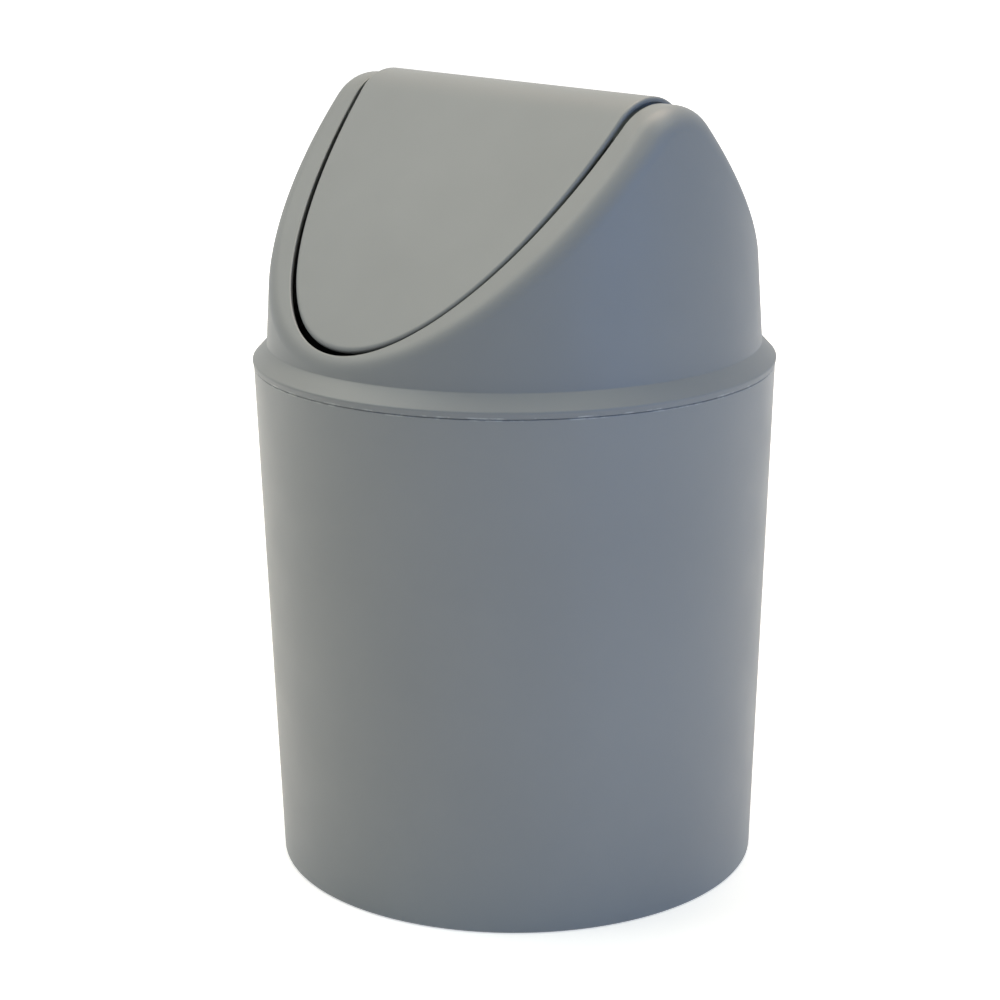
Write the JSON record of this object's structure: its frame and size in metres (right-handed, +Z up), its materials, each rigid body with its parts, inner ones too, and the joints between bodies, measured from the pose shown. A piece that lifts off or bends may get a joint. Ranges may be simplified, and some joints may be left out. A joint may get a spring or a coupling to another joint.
{
  "type": "countertop trash can with swing lid",
  "caption": "Round tapered bin with a lift-off hood plugged into its rim and a gable-shaped flap that swings inward from either side on two pins.",
  "frame": {"origin": "middle of the base, on the table", "axes": "+Z up, +X along the ridge and the flap's swing axis, -Y towards the front mouth"},
  "size_m": [0.14, 0.14, 0.2118],
  "materials": {
    "bin_body": "fine satin moulded plastic, mid grey",
    "lid_hood": "fine satin moulded plastic, mid grey",
    "swing_flap": "fine satin moulded plastic, slightly warmer grey"
  },
  "bodies": {
    "bin": {"bin_body": "bin_body"},
    "lid": {"lid_hood": "lid_hood"},
    "flap": {"swing_flap": "swing_flap"}
  },
  "joints": [
    {"name": "lid_lift", "type": "slide", "parent": "bin", "child": "lid", "axis": [0, 0, 1], "range_m": [0, 0.08]},
    {"name": "flap_swing", "type": "hinge", "parent": "lid", "child": "flap", "pos_m": [0, 0, 0.19779], "axis": [1, 0, 0], "range_deg": [-80, 80]}
  ]
}
